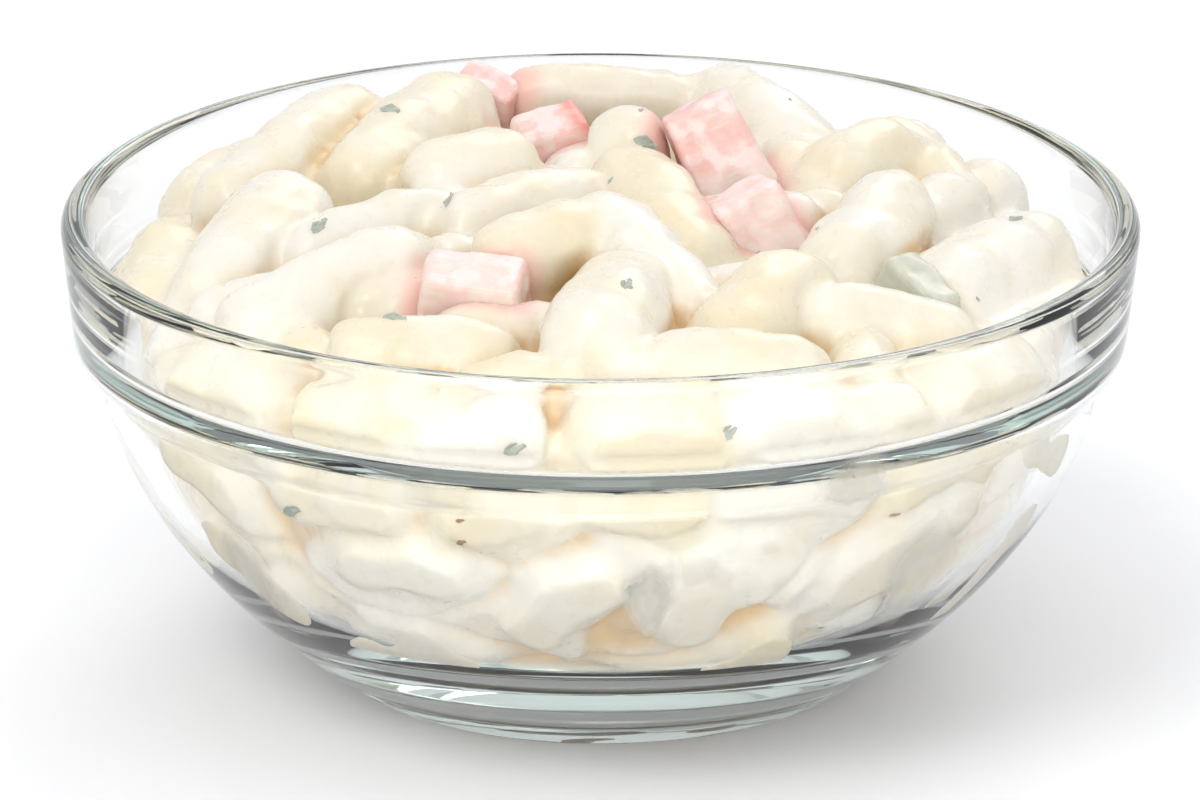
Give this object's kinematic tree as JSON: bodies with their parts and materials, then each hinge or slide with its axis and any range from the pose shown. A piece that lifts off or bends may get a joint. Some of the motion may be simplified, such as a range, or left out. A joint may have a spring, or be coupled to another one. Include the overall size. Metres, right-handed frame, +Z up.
{
  "type": "bowl of pasta salad",
  "caption": "Creamy elbow pasta salad with pink blocks, herb bits and a pickle block, heaped in a small clear glass stacking bowl.",
  "frame": {"origin": "centre of the bowl's foot, on the surface it stands on", "axes": "+Z up along the bowl's axis; -Y is the side that the picture shows"},
  "size_m": [0.12, 0.12, 0.0609],
  "materials": {
    "clear_glass": "pressed soda-lime glass, fire polished, faint green in its thick parts",
    "creamy_pasta": "boiled elbow pasta under a glossy mayonnaise coat, ivory with amber hollows",
    "pink_block": "moist pink and white fibrous block, cream on its faces",
    "pickle": "wet grey-green pickled cucumber under thin cream"
  },
  "bodies": {
    "root": {"bowl": "clear_glass", "salad": "creamy_pasta", "pink_block_back": "pink_block", "pink_block_behind": "pink_block", "pink_block_tall": "pink_block", "pink_block_low": "pink_block", "pink_block_front": "pink_block", "pink_block_side": "pink_block", "pickle_block": "pickle"}
  },
  "joints": []
}
